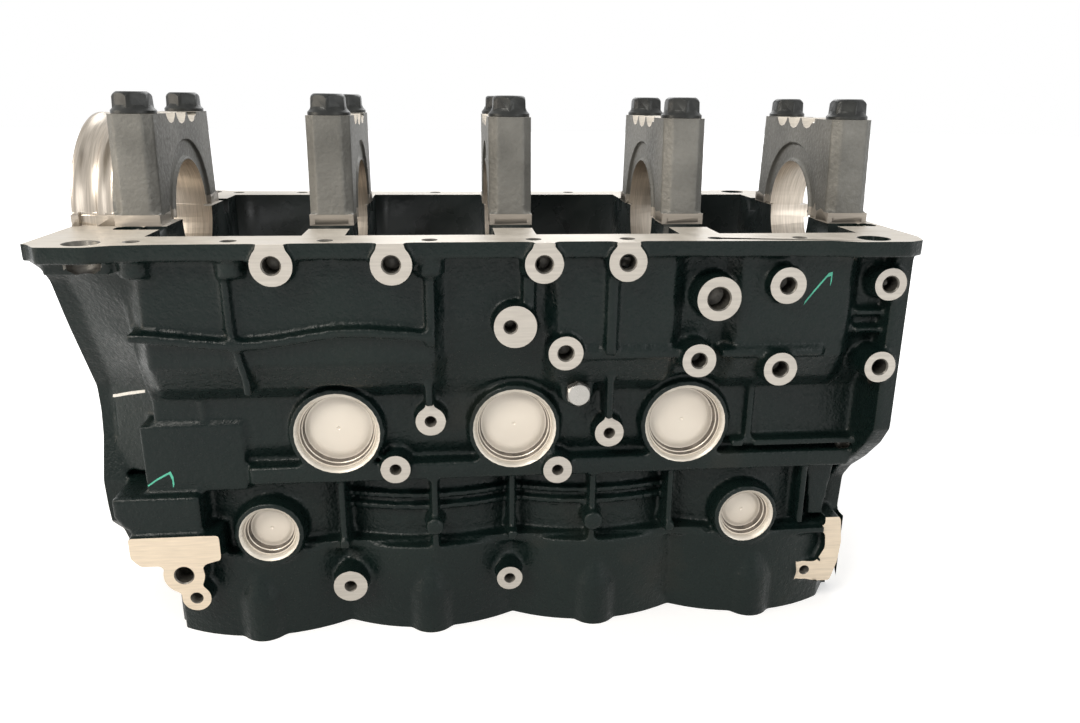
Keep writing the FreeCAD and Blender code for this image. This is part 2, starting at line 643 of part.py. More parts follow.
def cap_bolts():
    bolts = []
    for cap, x in zip(("rear", "2", "3", "4", "front"), cap_places()):
        for side, sign in SIDES:
            bolts.append(cap_bolt("cap_bolt_%s_%s" % (cap, side), x, sign * size("bolt_reach")))
    return bolts


def cup_profile(radius, depth):
    """Half section of a pressed core plug: a dished disc with a rim, open outwards."""
    rim = size("plug_rim")
    floor = depth - size("plug_dish")
    return [(0, 0), (radius, 0), (radius, depth), (radius - rim, depth), (radius - rim - 1, floor),
            (0, floor)]


def core_plugs():
    plugs = []
    for side, sign in SIDES:
        for number, x in enumerate(WEBS[1:4], 1):
            name = "core_plug_%s_%d" % (side, number)
            plug = revolved_body(name, cup_profile(size("large_plug"), size("plug_deep")))
            at = (x, "%d * (plug_wall + 3 - plug_deep)" % sign, "large_plug_z")
            place(plug, at, TURNS[OUTWARD[side]])
            plugs.append(plug)
        for end, x in (("rear", "-small_plug_x"), ("front", "small_plug_x")):
            name = "small_plug_%s_%s" % (side, end)
            plug = revolved_body(name, cup_profile(size("small_plug"), size("plug_deep")))
            at = (x, "%d * (small_wall - 1 - plug_deep)" % sign, "small_plug_z")
            place(plug, at, TURNS[OUTWARD[side]])
            plugs.append(plug)
    return plugs


def hex_plug():
    """The hexagon-headed plug of the cross drilling to the oil gallery."""
    shank = rod("hex_plug_shank", 5, 12, (35, -90, 153.5), "-Y")
    prism = doc.addObject("Part::Prism", "hex_plug_head")
    bind(prism, Circumradius=7.2, Height=6)
    prism.Polygon = 6
    place(prism, (35, -100, 153.5), TURNS["-Y"])
    return fuse("gallery_hex_plug", [shank, prism])


def gallery_plugs():
    plugs = []
    for name, x, along in (("rear", "-rear_end + 1", "+X"), ("front", "front_end - 1", "-X")):
        plugs.append(rod("gallery_plug_" + name, "gallery_plug", 8, (x, 70, 186), along))
    return plugs


# ---------------------------------------------------------------- the whole part

nodes = [block_casting()] + bearing_caps() + cap_bolts() + core_plugs() + [hex_plug()] + gallery_plugs()
doc.recompute()

for item in doc.Objects:
    if "Invalid" in item.State or "Error" in item.State:
        raise RuntimeError("%s is %s" % (item.Name, item.State))
os.makedirs("parts", exist_ok=True)
for node in nodes:
    node.Label = node.Name
    if node.Shape.isNull() or not node.Shape.isValid():
        raise RuntimeError("%s has no valid shape" % node.Name)
    node.Shape.exportStep("parts/%s.step" % node.Label)
    print("%-22s %2d solid %9.1f cm3" % (node.Label, len(node.Shape.Solids), node.Shape.Volume / 1000))
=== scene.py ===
"""Looks of the bare engine block: painted iron casting, bare bearing caps, bolts, core plugs and paint marks."""
import json
import math

import bmesh
import bpy
import numpy
from mathutils import Matrix, Vector
from mathutils.bvhtree import BVHTree


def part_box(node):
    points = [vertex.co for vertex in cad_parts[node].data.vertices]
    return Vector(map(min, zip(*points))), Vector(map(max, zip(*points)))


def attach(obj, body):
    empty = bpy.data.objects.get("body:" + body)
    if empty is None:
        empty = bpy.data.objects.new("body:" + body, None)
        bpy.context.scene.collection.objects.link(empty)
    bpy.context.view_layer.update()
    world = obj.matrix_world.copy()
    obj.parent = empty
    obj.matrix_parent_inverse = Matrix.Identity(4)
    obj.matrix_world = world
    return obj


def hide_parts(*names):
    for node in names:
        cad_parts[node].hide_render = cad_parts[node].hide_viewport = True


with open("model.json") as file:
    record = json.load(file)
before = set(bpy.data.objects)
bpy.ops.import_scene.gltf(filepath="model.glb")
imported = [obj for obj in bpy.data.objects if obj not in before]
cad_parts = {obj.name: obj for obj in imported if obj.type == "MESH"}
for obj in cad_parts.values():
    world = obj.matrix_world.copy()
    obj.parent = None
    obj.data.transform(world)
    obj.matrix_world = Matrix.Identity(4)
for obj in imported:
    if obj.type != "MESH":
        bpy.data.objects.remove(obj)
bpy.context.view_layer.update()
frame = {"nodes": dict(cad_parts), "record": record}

MM = 0.001
AXES = {"X": Vector((1, 0, 0)), "Y": Vector((0, 1, 0)), "Z": Vector((0, 0, 1))}
BLOCK_LOW, BLOCK_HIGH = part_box("block_casting")
RAIL_TOP = BLOCK_HIGH.z
CAPS = ["main_cap_rear", "main_cap_2", "main_cap_3", "main_cap_4", "main_cap_front"]
BOLTS = [node for node in sorted(frame["nodes"]) if node.startswith("cap_bolt")]
PLUGS = [node for node in sorted(frame["nodes"]) if node.startswith(("core_plug", "small_plug"))]
GALLERY_PLUGS = ["gallery_plug_rear", "gallery_plug_front"]
CYLINDER_STATIONS = [mount["pos_m"][0] for mount in frame["record"]["mounts"] if mount["name"].startswith("cylinder")]
CRANK = next(mount for mount in frame["record"]["mounts"] if mount["name"] == "crank_bore")
CRANK_RADIUS = CRANK["dims"]["r_mm"] * MM
SEAL_RADIUS = 50 * MM
CAP_TOP = RAIL_TOP + 59 * MM
BORE_RADIUS = 46 * MM
FRONT_FACE = 213 * MM
RAIL_UNDER = RAIL_TOP - 8.5 * MM

# ---------------------------------------------------------------- meshes


def piece_from(name, shape):
    """A scene object from a bmesh, which it uses up."""
    mesh = bpy.data.meshes.new(name)
    shape.to_mesh(mesh)
    shape.free()
    piece = bpy.data.objects.new(name, mesh)
    bpy.context.scene.collection.objects.link(piece)
    return piece


def merged(node):
    """A copy of a CAD node with its loose triangles joined up."""
    shape = bmesh.new()
    shape.from_mesh(frame["nodes"][node].data)
    bmesh.ops.remove_doubles(shape, verts=shape.verts, dist=1e-7)
    return shape


def slab(name, low, high):
    """A plain block between two corners."""
    shape = bmesh.new()
    low, high = Vector(low), Vector(high)
    middle, span = (low + high) / 2, high - low
    bmesh.ops.create_cube(shape, size=1, matrix=Matrix.Translation(middle) @ Matrix.Diagonal((*span, 1)))
    return piece_from(name, shape)


def prism(name, outline, along):
    """A solid swept from a flat outline of points along a vector."""
    shape = bmesh.new()
    corners = [shape.verts.new(point) for point in outline]
    rim = [shape.edges.new(pair) for pair in zip(corners, corners[1:] + corners[:1])]
    bmesh.ops.contextual_create(shape, geom=rim)
    made = bmesh.ops.extrude_face_region(shape, geom=shape.faces[:], use_keep_orig=True)
    bmesh.ops.translate(shape, verts=[item for item in made["geom"] if isinstance(item, bmesh.types.BMVert)], vec=along)
    bmesh.ops.recalc_face_normals(shape, faces=shape.faces)
    return piece_from(name, shape)


def facing(axis, sign, at):
    """The placing of a shape turned about +Z, so that its +Z points along an axis."""
    return Matrix.Translation(at) @ (AXES[axis] * sign).to_track_quat("Z", "Y").to_matrix().to_4x4()


def turn(shape, profile, steps, placing=Matrix()):
    """Adds a solid turned about +Z from (radius, height) points, both ends of the profile on the axis."""
    corners = [shape.verts.new((radius, 0, height)) for radius, height in profile]
    edges = [shape.edges.new(pair) for pair in zip(corners, corners[1:])]
    made = bmesh.ops.spin(shape, geom=corners + edges, cent=(0, 0, 0), axis=(0, 0, 1), dvec=(0, 0, 0),
                          angle=math.tau, steps=steps, use_merge=True, use_duplicate=False)
    rings = {item for item in made["geom_last"] if isinstance(item, bmesh.types.BMVert)} | set(corners)
    body, edge = set(rings), list(rings)
    while edge:
        near = {link.other_vert(vert) for vert in edge for link in vert.link_edges} - body
        body |= near
        edge = list(near)
    bmesh.ops.transform(shape, matrix=placing, verts=list(body))


def turned(name, solids, steps=24):
    """An object of turned solids, each a profile and a placing."""
    shape = bmesh.new()
    for profile, placing in solids:
        part = bmesh.new()
        turn(part, profile, steps, placing)
        bmesh.ops.remove_doubles(part, verts=part.verts, dist=1e-7)
        bmesh.ops.recalc_face_normals(part, faces=part.faces)
        mesh = bpy.data.meshes.new("turned")
        part.to_mesh(mesh)
        part.free()
        shape.from_mesh(mesh)
        bpy.data.meshes.remove(mesh)
    return piece_from(name, shape)


def bake(piece):
    """Replaces a piece's mesh with what its modifiers make of it."""
    graph = bpy.context.evaluated_depsgraph_get()
    mesh = bpy.data.meshes.new_from_object(piece.evaluated_get(graph))
    piece.modifiers.clear()
    old, piece.data = piece.data, mesh
    bpy.data.meshes.remove(old)
    return piece


def combine(base, tool, operation, solver="MANIFOLD"):
    """Joins, cuts or intersects one solid with another, which it uses up."""
    step = base.modifiers.new("step", "BOOLEAN")
    step.operation, step.solver, step.object = operation, solver, tool
    bake(base)
    bpy.data.objects.remove(tool)
    return base


def copy_of(piece, name, shift=(0, 0, 0)):
    """A second object with its own mesh, moved along."""
    double = bpy.data.objects.new(name, piece.data.copy())
    double.data.transform(Matrix.Translation(shift))
    bpy.context.scene.collection.objects.link(double)
    return double


def cast(piece, grain, rounding, triangles):
    """Softens every edge as sand casting does, then thins the mesh where it is flat."""
    skin = piece.modifiers.new("skin", "REMESH")
    skin.mode, skin.voxel_size = "VOXEL", grain
    soft = piece.modifiers.new("soft", "SMOOTH")
    soft.factor, soft.iterations = 0.5, rounding
    bake(piece)
    thin = piece.modifiers.new("thin", "DECIMATE")
    thin.ratio = min(1, triangles / (2 * len(piece.data.polygons)))
    return bake(piece)


# ---------------------------------------------------------------- round faces and holes of the casting

SMALL_BOSS = 14 * MM
LARGEST_ROUND = 30 * MM
LARGEST_PAD = 70 * MM
LARGE_SEAT = 94.6 * MM
SMALL_SEAT = 93.2 * MM


def circle_through(points):
    """Centre and radius of the circle nearest to flat points, or None where they lie off it."""
    flat = numpy.array(points)
    table = numpy.column_stack([2 * flat, numpy.ones(len(flat))])
    answer = numpy.linalg.lstsq(table, (flat ** 2).sum(1), rcond=None)[0]
    radius = math.sqrt(max(0, answer[2] + answer[0] ** 2 + answer[1] ** 2))
    off = numpy.abs(numpy.linalg.norm(flat - answer[:2], axis=1) - radius).max()
    return (answer[0], answer[1], radius) if len(points) > 7 and off < 0.12 * MM else None


def flat_islands(shape, axis, sign):
    """Groups of joined faces that look straight along an axis."""
    outward = AXES[axis] * sign
    left = {face for face in shape.faces if face.normal.dot(outward) > 0.9999}
    while left:
        island, edge = set(), [left.pop()]
        while edge:
            face = edge.pop()
            island.add(face)
            near = {other for link in face.edges for other in link.link_faces} & left
            left -= near
            edge.extend(near)
        yield island


def outlines(island):
    """The closed loops of points that bound an island of faces."""
    border = {edge for face in island for edge in face.edges if sum(other in island for other in edge.link_faces) == 1}
    while border:
        first = border.pop()
        start, corner = first.verts
        loop = [start, corner]
        while corner is not start:
            link = next((edge for edge in corner.link_edges if edge in border), None)
            if link is None:
                break
            border.remove(link)
            corner = link.other_vert(corner)
            loop.append(corner)
        yield loop[:-1]


def leads_in(loop, island, outward):
    """Whether the walls beside a loop of points lead into the metal, as they do in a hole."""
    walls = {face for vert in loop for face in vert.link_faces} - island
    return sum((face.calc_center_median() - loop[0].co).dot(outward) for face in walls) < 0


def survey(shape):
    """Holes and drilled round bosses as (axis, sign, centre, radius, is a hole); drilled pads as (sign, low, high)."""
    spots, pads = [], []
    plug_low, plug_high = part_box("gallery_hex_plug")
    for axis, sign in ((axis, sign) for axis in "XYZ" for sign in (-1, 1)):
        across = [place for place, name in enumerate("XYZ") if name != axis]
        for island in flat_islands(shape, axis, sign):
            loops = list(outlines(island))
            span = [max(max(vert.co[place] for vert in loop) - min(vert.co[place] for vert in loop)
                        for place in across) for loop in loops]
            fits = [circle_through([[vert.co[place] for place in across] for vert in loop]) for loop in loops]
            holes = [loop for loop, wide, fit in zip(loops, span, fits) if fit and fit[2] < SMALL_BOSS
                     and wide < max(span) and leads_in(loop, island, AXES[axis] * sign)]
            for loop, wide, fit in zip(loops, span, fits):
                if not fit or fit[2] > LARGEST_ROUND:
                    continue
                centre = loop[0].co.copy()
                centre[across[0]], centre[across[1]] = fit[0], fit[1]
                inner = wide < max(span)
                if inner and leads_in(loop, island, AXES[axis] * sign):
                    if axis != "Y" or fit[2] < SMALL_BOSS:
                        spots.append((axis, sign, centre, fit[2], True))
                elif not inner and holes and axis == "Y" and fit[2] < SMALL_BOSS:
                    if not plug_low.x < centre.x < plug_high.x:
                        spots.append((axis, sign, centre, fit[2], False))
            if axis == "Y" and holes and not fits[span.index(max(span))] and max(span) < LARGEST_PAD:
                points = [vert.co for face in island for vert in face.verts]
                pads.append((sign, Vector(map(min, zip(*points))), Vector(map(max, zip(*points)))))
    return spots, pads


def plug_holes():
    """The counterbores of the core plugs, as the survey gives holes: their faces clear the ribs beside them."""
    holes = []
    for node in PLUGS:
        low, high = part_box(node)
        sign = -1 if low.y < 0 else 1
        radius = (high.x - low.x) / 2
        face = LARGE_SEAT if radius > 18 * MM else SMALL_SEAT
        middle = (low + high) / 2
        holes.append(("Y", sign, Vector((middle.x, sign * face, middle.z)), radius, True))
    return holes


# ---------------------------------------------------------------- the block casting

STOCK = 3 * MM


def filled_inside(above):
    """The spaces inside the crankcase and the cylinders, as one solid; above is how far it rises over the rail."""
    top = RAIL_TOP + above
    ends = (BLOCK_LOW.x + 0.1 * MM - above, FRONT_FACE - 0.1 * MM + above)
    inside = slab("inside", (-200 * MM, -98.2 * MM, 188 * MM), (206 * MM, 98.2 * MM, top))
    tunnel = slab("tunnel", (ends[0], -60 * MM, 188 * MM), (ends[1], 60 * MM, top))
    lower = slab("lower", (-189.5 * MM, -84.4 * MM, 149.6 * MM), (189.5 * MM, 84.4 * MM, 190 * MM))
    combine(inside, tunnel, "UNION")
    combine(inside, lower, "UNION")
    barrel = [(0, -above), (BORE_RADIUS + 0.3 * MM, -above), (BORE_RADIUS + 0.3 * MM, 152 * MM), (0, 152 * MM)]
    barrels = turned("barrels", [(barrel, Matrix.Translation((x, 0, 0))) for x in CYLINDER_STATIONS], 48)
    return combine(inside, barrels, "UNION")


def grown(rough, low, high, shift):
    """Extra metal over a face to be machined: the slice of the casting behind it, moved outwards."""
    slice_ = combine(copy_of(rough, "slice"), slab("zone", low, high), "INTERSECT")
    slice_.data.transform(Matrix.Translation(shift))
    return combine(rough, slice_, "UNION")


OPEN_RAIL_HOLES = [-97 * MM, 57 * MM, 150 * MM]
LOW_RIBS = [(-151 * MM, -136 * MM), (135.5 * MM, 142.5 * MM)]
RIB_SHAVE = [(140, 111), (94, 111), (93, 150), (96, 154), (105, 161), (140, 161)]
FRONT_PAD = 87.5 * MM
PAD_OUTLINE = [(196.5, 61.5), (206.5, 61.5), (208.6, 44), (207.6, 30), (203.8, 16.3), (193, 16.7), (186.2, 18.9),
               (186.2, 30.5), (193.6, 30.5), (198.4, 40.3)]
PAD_LUG = (186.2 * MM, 24.7 * MM)
LUG_RADIUS = 5.8 * MM


def front_pad():
    """The narrow pad at the timing end of the deck, with the lug at its foot."""
    pad = prism("pad", [(x * MM, STOCK - FRONT_PAD - 2 * STOCK, z * MM) for x, z in PAD_OUTLINE], (0, 28 * MM, 0))
    disc = [(0, -26 * MM), (LUG_RADIUS + 2 * MM, -26 * MM), (LUG_RADIUS, STOCK), (0, STOCK)]
    lug = turned("lug", [(disc, facing("Y", -1, Vector((PAD_LUG[0], -FRONT_PAD, PAD_LUG[1]))))], 32)
    return combine(pad, lug, "UNION")


def mill(rough, low, high):
    """Cuts away all that lies in a box."""
    return combine(rough, slab("mill", low, high), "DIFFERENCE")


def block_casting(spots, pads):
    """The casting with soft cast edges, its faces and holes cut crisp afterwards."""
    model = piece_from("block_model", merged("block_casting"))
    rough = combine(copy_of(model, "block"), filled_inside(0), "UNION")
    void = combine(filled_inside(8 * MM), model, "DIFFERENCE")

    bosses = [(facing(axis, sign, centre), radius) for axis, sign, centre, radius, hole in spots if not hole]
    stocks = [([(0, -2 * MM), (radius, -2 * MM), (radius, STOCK), (0, STOCK)], at) for at, radius in bosses]
    combine(rough, turned("stocks", stocks), "UNION")
    rings = [([(0, -20 * MM), (radius + 5.2 * MM, -20 * MM), (radius + 4.6 * MM, 0), (0, 0)],
              facing(axis, sign, centre)) for axis, sign, centre, radius, hole in plug_holes()]
    combine(rough, turned("plug_rings", rings, 48), "UNION")
    combine(rough, front_pad(), "UNION")
    for sign in (-1, 1):
        for x in OPEN_RAIL_HOLES:
            near_y, far_y = sorted((sign * 104 * MM, sign * 112.8 * MM))
            combine(rough, slab("filler", (x - 5 * MM, near_y, 222 * MM), (x + 5 * MM, far_y, RAIL_UNDER)), "UNION")
        for low_x, high_x in LOW_RIBS:
            section = [(low_x, sign * y * MM, z * MM) for y, z in RIB_SHAVE]
            combine(rough, prism("shave", section, (high_x - low_x, 0, 0)), "DIFFERENCE")
    far, edge = 400 * MM, Vector((1, 1, 1)) * MM
    for sign, low, high in pads:
        behind = Vector((0, -sign * STOCK, 0))
        back = min(low.y, low.y + behind.y), max(low.y, low.y + behind.y)
        grown(rough, (low.x - edge.x, back[0], low.z - edge.z), (high.x + edge.x, back[1], high.z + edge.z), -behind)
    grown(rough, (-far, -far, 0), (far, far, STOCK), (0, 0, -STOCK))
    grown(rough, (-far, -far, RAIL_TOP - STOCK), (far, far, RAIL_TOP), (0, 0, STOCK))
    grown(rough, (-far, -far, -far), (BLOCK_LOW.x + STOCK, far, far), (-STOCK, 0, 0))
    grown(rough, (FRONT_FACE - STOCK, -far, -far), (FRONT_FACE, far, RAIL_UNDER), (STOCK, 0, 0))
    cast(rough, 1.5 * MM, 4, 150000)

    mill(rough, (-far, -far, -3 * STOCK), (far, far, 0))
    mill(rough, (-far, -far, RAIL_TOP), (far, far, RAIL_TOP + 3 * STOCK))
    mill(rough, (-far, -far, -far), (BLOCK_LOW.x, far, far))
    mill(rough, (FRONT_FACE, -far, -far), (far, far, RAIL_UNDER))
    for sign, low, high in pads:
        face, past = sorted((low.y, sign * far))
        mill(rough, (low.x - 2 * edge.x, face, low.z - 2 * edge.z), (high.x + 2 * edge.x, past, high.z + 2 * edge.z))
    for low_x, low_z, high_x, high_z in ((195, 9, 211, 64), (180.2, 17, 196, 32)):
        mill(rough, (low_x * MM, -FRONT_PAD - 3 * STOCK, low_z * MM), (high_x * MM, -FRONT_PAD, high_z * MM))
    spot_faces = [([(0, 0), (radius + 2 * MM, 0), (radius + 2 * MM, 2 * STOCK), (0, 2 * STOCK)], at)
                  for at, radius in bosses]
    combine(rough, turned("spot_faces", spot_faces), "DIFFERENCE")
    combine(rough, void, "DIFFERENCE")
    holes = [(tapped(radius, 8.7 * MM if axis == "Z" and radius < 4 * MM else 13 * MM), facing(axis, sign, centre))
             for axis, sign, centre, radius, hole in spots if hole]
    return combine(rough, turned("holes", holes, 32), "DIFFERENCE")


def tapped(radius, depth):
    """The shape of a hole from its mouth down, with a chamfer and rings where its thread runs."""
    mouth, throat = (1.9 * MM, 1.1 * MM) if radius > SMALL_BOSS else (0.7 * MM, 0.7 * MM)
    profile = [(0, 3 * MM if radius > SMALL_BOSS else 1 * MM)]
    profile += [(radius + mouth, profile[0][1]), (radius + mouth, 0), (radius, -throat)]
    if 3 * MM < radius < 7 * MM:
        for ring in range(int((depth - 3 * MM) / (1.4 * MM))):
            top = -(1.5 + 1.4 * ring) * MM
            profile += [(radius, top), (radius + 0.45 * MM, top - 0.7 * MM)]
    return profile + [(radius, -depth), (0, -depth - radius * 0.6)]


# ---------------------------------------------------------------- bearing caps


ARCH_FRONT = -217 * MM
CAP_FOOT = 6 * MM


def bearing_cap(node):
    """A cap softened as cast, with its foot, bore, seal arch and crown cut crisp."""
    low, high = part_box(node)
    has_arch = low.x < BLOCK_LOW.x + 1 * MM
    model = piece_from(node + "_model", merged(node))
    crisp = combine(copy_of(model, "foot"), slab("zone", (-1, -1, 0), (1, 1, RAIL_TOP + CAP_FOOT)), "INTERSECT")
    deep = high.x - low.x - 0.2 * MM
    stock = [(0, 0), (CRANK_RADIUS + 1 * MM, 0), (CRANK_RADIUS + 1 * MM, deep), (0, deep)]
    core = turned("core", [(stock, facing("X", 1, Vector((low.x + 0.1 * MM, 0, RAIL_TOP))))], 48)
    combine(core, slab("above", (-1, -1, RAIL_TOP), (1, 1, 1)), "INTERSECT")
    rough = combine(copy_of(model, node + "_looks"), core, "UNION")
    grown(rough, (-1, -1, RAIL_TOP), (1, 1, RAIL_TOP + 2 * MM), (0, 0, -2 * MM))
    grown(rough, (-1, -1, CAP_TOP - 4 * MM), (1, 1, CAP_TOP - 2.5 * MM), (0, 0, 4 * MM))
    cast(rough, 0.8 * MM, 3, 26000)
    combine(rough, slab("split", (-1, -1, 0), (1, 1, RAIL_TOP + 1 * MM)), "DIFFERENCE")
    if has_arch:
        combine(rough, slab("arch_room", (-1, -1, 0), (ARCH_FRONT, 1, 1)), "DIFFERENCE")
        combine(crisp, seal_arch(), "UNION")
    combine(rough, crisp, "UNION")
    combine(rough, slab("top", (-1, -1, CAP_TOP), (1, 1, 1)), "DIFFERENCE")
    body = Vector((ARCH_FRONT if has_arch else low.x, low.y, low.z))
    combine(rough, crown_cuts(body, high, (1,) if has_arch else (-1, 1)), "DIFFERENCE")
    bore = [(0, -1), (CRANK_RADIUS, -1), (CRANK_RADIUS, 1), (0, 1)]
    combine(rough, turned("bore", [(bore, facing("X", 1, Vector((0, 0, RAIL_TOP))))], 64), "DIFFERENCE")
    bpy.data.objects.remove(model)
    return rough


def seal_arch():
    """The turned arch round the rear oil seal: a lip, a groove and two bands."""
    deep, ring = ARCH_FRONT - BLOCK_LOW.x + 1 * MM, 58.9 * MM
    profile = [(0, 15 * MM), (SEAL_RADIUS, 15 * MM), (SEAL_RADIUS, 0.6 * MM), (SEAL_RADIUS + 0.6 * MM, 0),
               (ring - 0.6 * MM, 0), (ring, 0.6 * MM), (ring, 3.6 * MM), (ring - 2 * MM, 4.2 * MM),
               (ring - 2 * MM, 12.4 * MM), (ring - 0.6 * MM, 13 * MM), (ring, 13.6 * MM), (ring, 17 * MM),
               (ring - 0.8 * MM, 17.4 * MM), (ring - 0.8 * MM, deep), (0, deep)]
    arch = turned("arch", [(profile, facing("X", 1, Vector((BLOCK_LOW.x, 0, RAIL_TOP))))], 96)
    return combine(arch, slab("upper_half", (-1, -1, RAIL_TOP + 1 * MM), (1, 1, 1)), "INTERSECT")


SCALLOPS = [(-23, 5.6), (-3, 6.4), (18, 6.0)]


def crown_cuts(low, high, signs):
    """The milling cutter's marks along the top edges of a cap, as shallow cones: place across, depth."""
    cuts = []
    for sign in signs:
        at_x = high.x - 0.2 * MM if sign > 0 else low.x + 0.2 * MM
        for across, deep in SCALLOPS:
            deep, wide = deep * MM, 1.6 * deep * MM
            profile = [(0, -deep), (0.45 * wide, -0.86 * deep), (0.8 * wide, -0.4 * deep), (wide, 0.1 * deep),
                       (0, 0.1 * deep)]
            cuts.append((profile, Matrix.Translation((at_x, sign * across * MM, CAP_TOP))))
    return turned("crown_cuts", cuts, 20)


# ---------------------------------------------------------------- bolts and plugs


def cap_bolt(node):
    """A flanged hexagon bolt, its flats cut from a turned head with a chamfered, slightly hollow top."""
    low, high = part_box(node)
    middle = (low + high) / 2
    seat = RAIL_TOP + 59 * MM
    across = 9.4 * MM
    head = high.z - seat
    shank = [(0, low.z - seat), (6 * MM, low.z - seat), (6 * MM, 0), (11.5 * MM, 0), (11.7 * MM, 0.2 * MM),
             (11.7 * MM, 1.7 * MM), (11.3 * MM, 2.1 * MM), (10.3 * MM, 3.2 * MM), (9.7 * MM, 4.6 * MM), (0, 4.6 * MM)]
    crown = [(0, 1 * MM), (10.6 * MM, 1 * MM), (10.6 * MM, head - 3 * MM), (9.6 * MM, head - 1.5 * MM),
             (8.4 * MM, head - 0.4 * MM), (7.6 * MM, head), (5.4 * MM, head), (4.8 * MM, head - 0.7 * MM),
             (0, head - 0.9 * MM)]
    at = Matrix.Translation((middle.x, middle.y, seat))
    top = turned("crown", [(crown, at)], 48)
    flats = bmesh.new()
    corner = across / math.cos(math.pi / 6)
    bmesh.ops.create_cone(flats, cap_ends=True, segments=6, radius1=corner * 1.12, radius2=corner * 0.86,
                          depth=60 * MM, matrix=at)
    combine(top, piece_from("flats", flats), "INTERSECT")
    bolt = turned(node + "_looks", [(shank, at)], 48)
    return combine(bolt, top, "UNION")


def plug_disc(node):
    """A pressed core plug: a domed disc deep inside a stepped rim, with a punch mark at its middle."""
    low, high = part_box(node)
    middle = (low + high) / 2
    radius = (high.x - low.x) / 2
    depth = high.y - low.y
    outward = -1 if middle.y < 0 else 1
    face = low.y if outward < 0 else high.y
    back = -depth
    profile = [(0, back), (radius, back), (radius, -0.4 * MM), (radius - 0.4 * MM, 0), (radius - 1.0 * MM, -0.1 * MM),
               (radius - 1.4 * MM, -0.8 * MM), (radius - 1.6 * MM, -2.6 * MM), (radius - 2.1 * MM, -3.0 * MM),
               (radius - 2.3 * MM, -5.2 * MM), (radius - 2.9 * MM, -6.1 * MM), (radius - 3.6 * MM, -6.2 * MM),
               (radius - 4.4 * MM, -5.8 * MM), (radius * 0.6, -5.5 * MM), (1.1 * MM, -5.3 * MM),
               (0.6 * MM, -5.7 * MM), (0, -5.8 * MM)]
    return turned(node + "_looks", [(profile, facing("Y", outward, Vector((middle.x, face, middle.z))))], 72)


def hex_plug():
    """The small zinc plug, chamfered at its corners."""
    low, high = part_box("gallery_hex_plug")
    middle = (low + high) / 2
    at = facing("Y", -1, Vector((middle.x, low.y, middle.z)))
    deep = high.y - low.y
    blank = [(0, -deep), (4.9 * MM, -deep), (4.9 * MM, -6 * MM), (7.1 * MM, -6 * MM), (7.1 * MM, -1.2 * MM),
             (5.9 * MM, 0), (0, 0.0)]
    plug = turned("gallery_hex_plug_looks", [(blank, at)], 48)
    flats = bmesh.new()
    bmesh.ops.create_cone(flats, cap_ends=True, segments=6, radius1=7.1 * MM, radius2=7.1 * MM, depth=60 * MM,
                          matrix=at)
    return combine(plug, piece_from("flats", flats), "INTERSECT")


def gallery_plug(node):
    """A turned screw plug with a square socket dimple."""
    low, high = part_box(node)
    middle = (low + high) / 2
    outward = -1 if middle.x < 0 else 1
    face = low.x if outward < 0 else high.x
    deep, radius = high.x - low.x, (high.z - low.z) / 2
    blank = [(0, -deep), (radius, -deep), (radius, -0.8 * MM), (radius - 0.8 * MM, 0), (0, 0)]
    plug = turned(node + "_looks", [(blank, facing("X", outward, Vector((face, middle.y, middle.z))))], 32)
    socket = slab("socket", (face - 4 * MM, middle.y - 3.5 * MM, middle.z - 3.5 * MM),
                  (face + 4 * MM, middle.y + 3.5 * MM, middle.z + 3.5 * MM))
    return combine(plug, socket, "DIFFERENCE")


# ---------------------------------------------------------------- inspection marks

NIBS = {"green_tick_front": (0.6, 0, 2.2), "green_tick_rear": (0.9, 0, 1.7), "white_dash": (0.4, 0, 1.9)}
MARKS = {
    "green_tick_front": [(156.3, 205), (160.7, 211), (168.1, 220.4), (170.2, 221), (170.1, 215.3)],
    "green_tick_rear": [(-209, 98), (-201.9, 103), (-194.5, 107), (-193.3, 103.3), (-193.3, 98.6)],
    "white_dash": [(-231, 143), (-220.1, 146.3), (-208.5, 149.4)],
}


def paint_stroke(name, points, block):
    """A stroke of a broad marker, laid on the casting's near side."""
    shape = bmesh.new()
    verts = [shape.verts.new((x * MM, 0, z * MM)) for x, z in points]
    edges = [shape.edges.new(pair) for pair in zip(verts, verts[1:])]
    bmesh.ops.subdivide_edges(shape, edges=edges, cuts=5)
    made = bmesh.ops.extrude_edge_only(shape, edges=shape.edges[:])
    bmesh.ops.translate(shape, verts=[item for item in made["geom"] if isinstance(item, bmesh.types.BMVert)],
                        vec=Vector(NIBS[name]) * MM)
    for vert in shape.verts:
        ray = Vector((vert.co.x, BLOCK_LOW.y - 1 * MM, vert.co.z))
        vert.co.y = block.ray_cast(ray, Vector((0, 1, 0)))[0].y - 0.15 * MM
    bmesh.ops.recalc_face_normals(shape, faces=shape.faces)
    bmesh.ops.solidify(shape, geom=shape.faces[:], thickness=0.25 * MM)
    bmesh.ops.recalc_face_normals(shape, faces=shape.faces)
    return piece_from(name, shape)


# ---------------------------------------------------------------- finishes


